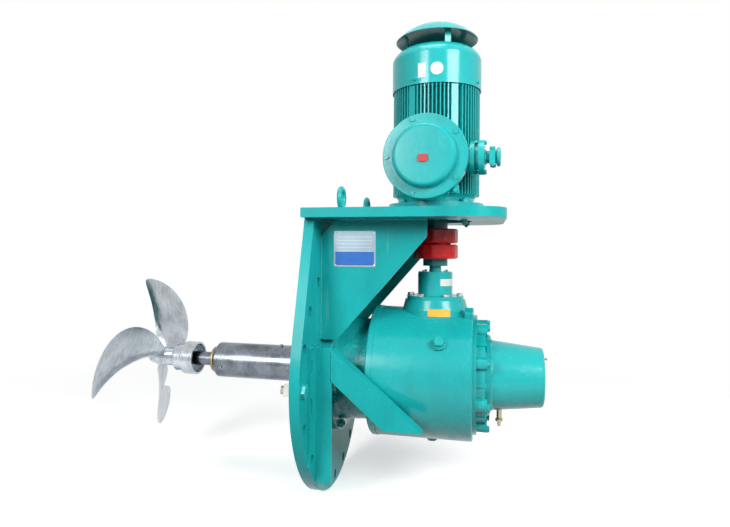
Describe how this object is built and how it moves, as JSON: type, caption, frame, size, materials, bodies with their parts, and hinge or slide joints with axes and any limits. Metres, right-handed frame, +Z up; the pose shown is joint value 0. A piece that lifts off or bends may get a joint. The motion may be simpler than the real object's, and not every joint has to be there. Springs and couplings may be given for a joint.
{
  "type": "side entry tank mixer",
  "caption": "Side entry tank mixer: plate-mounted bevel gearbox driven by a vertical flameproof motor under a rain canopy, three-bladed propeller on a shaft in a tube",
  "frame": {"origin": "centre of the mounting plate's tank face, on the propeller axis", "axes": "+X from the tank towards the gearbox along the propeller axis, +Z up along the motor axis, +Y to the side away from the terminal box"},
  "size_m": [1.4257, 0.78, 1.5079],
  "materials": {
    "teal_paint": "glossy blue-green machine enamel",
    "zinc_steel": "zinc plated fasteners",
    "stainless_steel": "polished stainless steel",
    "dark_steel": "machined carbon steel",
    "gear_steel": "ground gear steel",
    "red_paint": "red enamel on the coupling halves",
    "dark_rubber": "polyurethane spider",
    "core_steel": "laminated core",
    "copper_winding": "varnished copper end turns",
    "dark_plastic": "moulded fan",
    "bronze": "cast bronze bush",
    "brass": "turned brass"
  },
  "bodies": {
    "frame": {"angle_bar_far": "teal_paint", "angle_bar_near": "teal_paint", "brace_far": "teal_paint", "brace_near": "teal_paint", "cable_entry": "teal_paint", "canopy_posts": "teal_paint", "cartridge_bolts": "zinc_steel", "cartridge_cap": "zinc_steel", "drain_cock": "brass", "end_cap": "teal_paint", "entry_bolts": "zinc_steel", "entry_saddle": "zinc_steel", "fan_cowl": "teal_paint", "gearbox_housing": "teal_paint", "gearbox_outer_rings": "gear_steel", "grease_nipple": "brass", "gusset_far": "teal_paint", "gusset_near": "teal_paint", "input_cartridge": "teal_paint", "lifting_eyes": "zinc_steel", "motor_frame": "teal_paint", "motor_lower_shield": "teal_paint", "motor_mount_bolts": "zinc_steel", "motor_outer_rings": "gear_steel", "motor_upper_shield": "teal_paint", "neck_bolts": "zinc_steel", "oil_plugs": "zinc_steel", "rain_canopy": "teal_paint", "rear_cover": "teal_paint", "rear_cover_bolts": "zinc_steel", "seal_neck": "teal_paint", "seal_seat": "dark_steel", "shaft_tube": "stainless_steel", "stator_core": "core_steel", "stator_windings": "copper_winding", "tank_flange": "teal_paint", "terminal_box": "teal_paint", "terminal_cover": "teal_paint", "terminal_cover_bolts": "zinc_steel", "top_plate": "teal_paint", "tube_bush": "bronze"},
    "output_train": {"output_shaft": "stainless_steel", "shaft_collar": "stainless_steel", "propeller": "stainless_steel", "propeller_nut": "stainless_steel", "crown_gear": "gear_steel", "seal_rotor": "dark_steel", "output_inner_races": "gear_steel"},
    "input_train": {"input_shaft": "dark_steel", "bevel_pinion": "gear_steel", "coupling_lower": "red_paint", "coupling_spider": "dark_rubber", "input_inner_races": "gear_steel"},
    "motor_rotor": {"motor_shaft": "dark_steel", "rotor_core": "core_steel", "motor_fan": "dark_plastic", "coupling_upper": "red_paint", "motor_inner_races": "gear_steel"}
  },
  "joints": [
    {"name": "propeller_spin", "type": "hinge", "parent": "frame", "child": "output_train", "pos_m": [0, 0, 0], "axis": [1, 0, 0], "continuous": true},
    {"name": "input_spin", "type": "hinge", "parent": "frame", "child": "input_train", "pos_m": [0.36, 0, 0], "axis": [0, 0, 1], "continuous": true},
    {"name": "motor_spin", "type": "hinge", "parent": "frame", "child": "motor_rotor", "pos_m": [0.36, 0, 0], "axis": [0, 0, 1], "continuous": true}
  ],
  "couplings": [
    {"joint": "input_spin", "follows": "propeller_spin", "ratio": 3.5},
    {"joint": "motor_spin", "follows": "propeller_spin", "ratio": 3.5}
  ]
}
